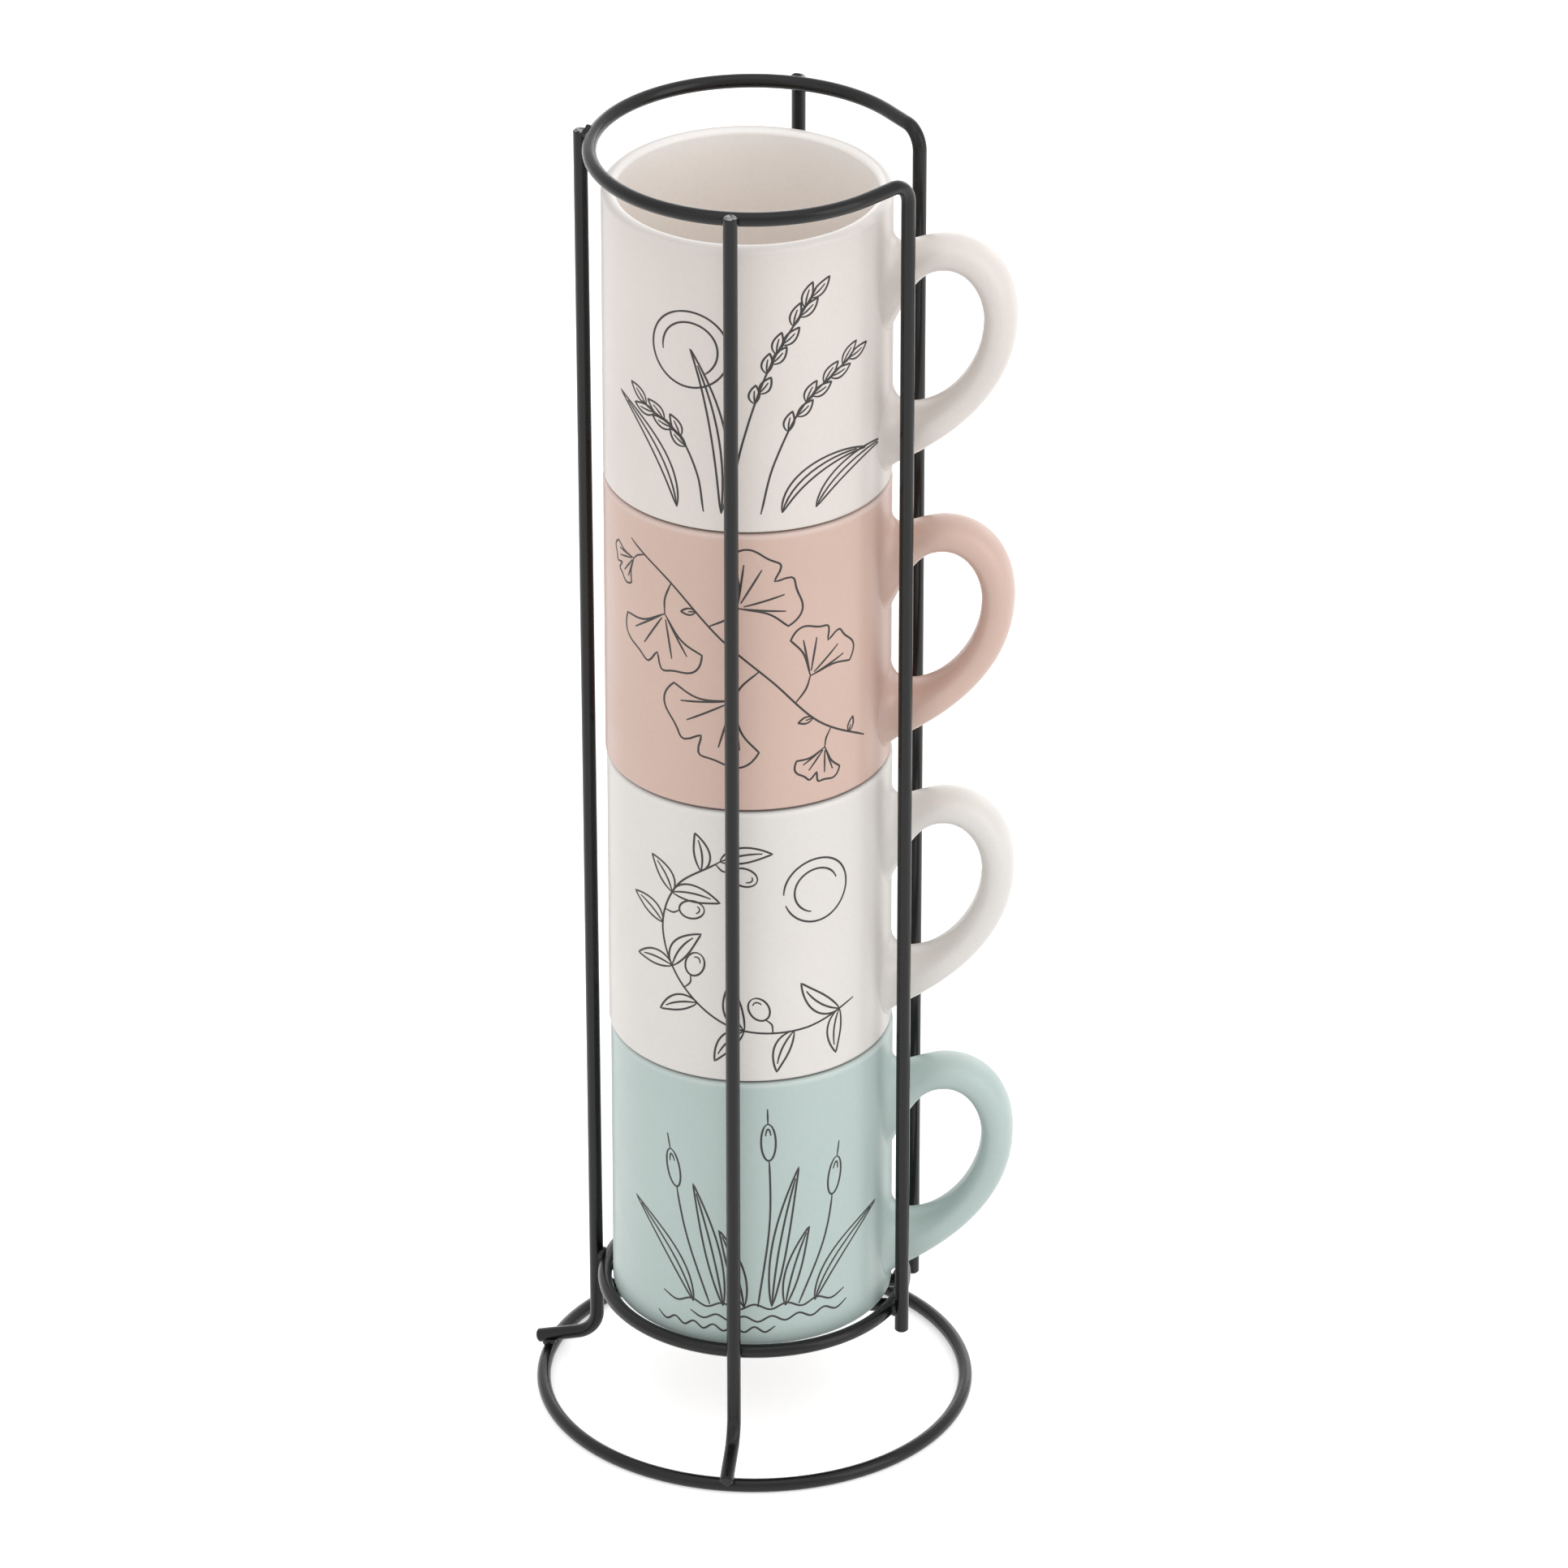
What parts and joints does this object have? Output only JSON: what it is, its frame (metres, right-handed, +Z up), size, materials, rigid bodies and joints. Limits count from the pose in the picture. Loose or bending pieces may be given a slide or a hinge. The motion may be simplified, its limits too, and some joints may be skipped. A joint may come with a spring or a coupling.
{
  "type": "stacking mug rack",
  "caption": "Welded wire rack on a round base ring that holds a tower of stacking mugs, with their handles in a slot at one side; each mug lifts out of the open top.",
  "frame": {"origin": "on the floor, at the centre of the base ring", "axes": "+Z up along the stack, +X towards the mugs' handles, -Y towards the front upright"},
  "size_m": [0.1401, 0.1309, 0.3983],
  "materials": {
    "powder_coat": "satin charcoal powder coat",
    "mint_glaze": "satin mint glaze",
    "cream_glaze": "satin cream glaze",
    "pink_glaze": "satin pink glaze"
  },
  "bodies": {
    "rack": {"base_ring": "powder_coat", "support_ring": "powder_coat", "top_hoop": "powder_coat", "front_leg": "powder_coat", "back_leg": "powder_coat", "left_upright": "powder_coat", "front_upright": "powder_coat", "back_upright": "powder_coat", "front_seat_wire": "powder_coat", "back_seat_wire": "powder_coat", "foot_welds": "powder_coat", "seat_welds": "powder_coat", "ring_welds": "powder_coat", "hoop_welds": "powder_coat"},
    "mint_mug": {"mint_mug_cup": "mint_glaze", "mint_mug_handle": "mint_glaze"},
    "lower_cream_mug": {"lower_cream_mug_cup": "cream_glaze", "lower_cream_mug_handle": "cream_glaze"},
    "pink_mug": {"pink_mug_cup": "pink_glaze", "pink_mug_handle": "pink_glaze"},
    "upper_cream_mug": {"upper_cream_mug_cup": "cream_glaze", "upper_cream_mug_handle": "cream_glaze"}
  },
  "joints": [
    {"name": "mint_mug_lift", "type": "slide", "parent": "rack", "child": "mint_mug", "axis": [0, 0, 1], "range_m": [0, 0.371]},
    {"name": "lower_cream_mug_lift", "type": "slide", "parent": "mint_mug", "child": "lower_cream_mug", "axis": [0, 0, 1], "range_m": [0, 0.284]},
    {"name": "pink_mug_lift", "type": "slide", "parent": "lower_cream_mug", "child": "pink_mug", "axis": [0, 0, 1], "range_m": [0, 0.196]},
    {"name": "upper_cream_mug_lift", "type": "slide", "parent": "pink_mug", "child": "upper_cream_mug", "axis": [0, 0, 1], "range_m": [0, 0.108]}
  ]
}
